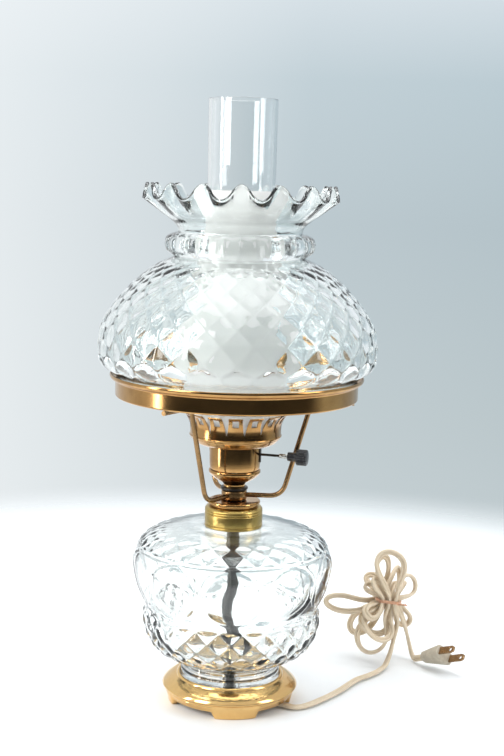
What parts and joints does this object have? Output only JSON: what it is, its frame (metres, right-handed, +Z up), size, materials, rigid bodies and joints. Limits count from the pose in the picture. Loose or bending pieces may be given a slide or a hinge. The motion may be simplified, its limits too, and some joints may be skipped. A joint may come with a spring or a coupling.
{
  "type": "hurricane table lamp",
  "caption": "Electric hurricane style table lamp: pressed glass body on a cast base, turn switch socket, arm-held ring with a ruffled glass shade, chimney, tied flex and plug.",
  "frame": {"origin": "on the table under the lamp's axis", "axes": "+Z up along the lamp's axis, the switch knob towards +X, the viewer of the picture towards -Y"},
  "size_m": [0.296, 0.2194, 0.4553],
  "materials": {
    "polished_brass": "polished, lacquered cast brass",
    "aged_brass": "darkened spun brass",
    "bright_brass": "plain brass",
    "dark_metal": "blackened",
    "zinc_steel": "zinc plated",
    "black_plastic": "moulded, satin",
    "fibre_liner": "insulating fibre sleeve",
    "clear_glass": "clear pressed glass",
    "frosted_glass": "frosted glass",
    "flex_beige": "vinyl twin flex",
    "tie_copper": "plastic coated wire tie",
    "plug_beige": "moulded vinyl",
    "blade_brass": "dull brass"
  },
  "bodies": {
    "lamp": {"arm_hub": "aged_brass", "base_casting": "polished_brass", "base_lock_nut": "zinc_steel", "base_washer": "zinc_steel", "centre_contact": "bright_brass", "centre_pipe": "zinc_steel", "chimney_gallery": "aged_brass", "collar_disc": "aged_brass", "cord_hank": "flex_beige", "cord_lead": "flex_beige", "cord_tie": "tie_copper", "font_collar": "aged_brass", "font_glass": "clear_glass", "inner_cord": "flex_beige", "neck_nut": "dark_metal", "neck_set_screw": "dark_metal", "plug_blade_lower": "blade_brass", "plug_blade_upper": "blade_brass", "plug_body": "plug_beige", "plug_lead": "flex_beige", "screw_shell": "bright_brass", "shade_arm_left": "aged_brass", "shade_arm_rear": "aged_brass", "shade_arm_right": "aged_brass", "shade_ring": "aged_brass", "socket_cap": "aged_brass", "socket_liner": "fibre_liner", "socket_shell": "aged_brass", "stem_clip": "dark_metal", "switch_body": "black_plastic", "terminal_screw_live": "bright_brass", "terminal_screw_neutral": "zinc_steel"},
    "switch": {"switch_stem": "dark_metal", "switch_ferrule": "zinc_steel", "switch_knob": "black_plastic"},
    "shade": {"glass_shade": "clear_glass"},
    "chimney": {"chimney": "frosted_glass"},
    "bulb_foot": {"bulb_contact": "zinc_steel"},
    "bulb": {"bulb_cap": "zinc_steel", "bulb_glass": "frosted_glass"}
  },
  "joints": [
    {"name": "switch_turn", "type": "hinge", "parent": "lamp", "child": "switch", "pos_m": [0, 0, 0.1928], "axis": [0.9659, -0.2588, 0], "continuous": true},
    {"name": "shade_lift", "type": "slide", "parent": "lamp", "child": "shade", "axis": [0, 0, 1], "range_m": [0, 0.225]},
    {"name": "chimney_lift", "type": "slide", "parent": "lamp", "child": "chimney", "axis": [0, 0, 1], "range_m": [0, 0.19]},
    {"name": "bulb_advance", "type": "slide", "parent": "lamp", "child": "bulb_foot", "axis": [0, 0, 1], "range_m": [0, 0.0146]},
    {"name": "bulb_turn", "type": "hinge", "parent": "bulb_foot", "child": "bulb", "pos_m": [0, 0, 0.2], "axis": [0, 0, 1], "range_deg": [0, 1440]}
  ],
  "couplings": [
    {"joint": "bulb_advance", "follows": "bulb_turn", "m_per_rad": 0.00057751}
  ]
}
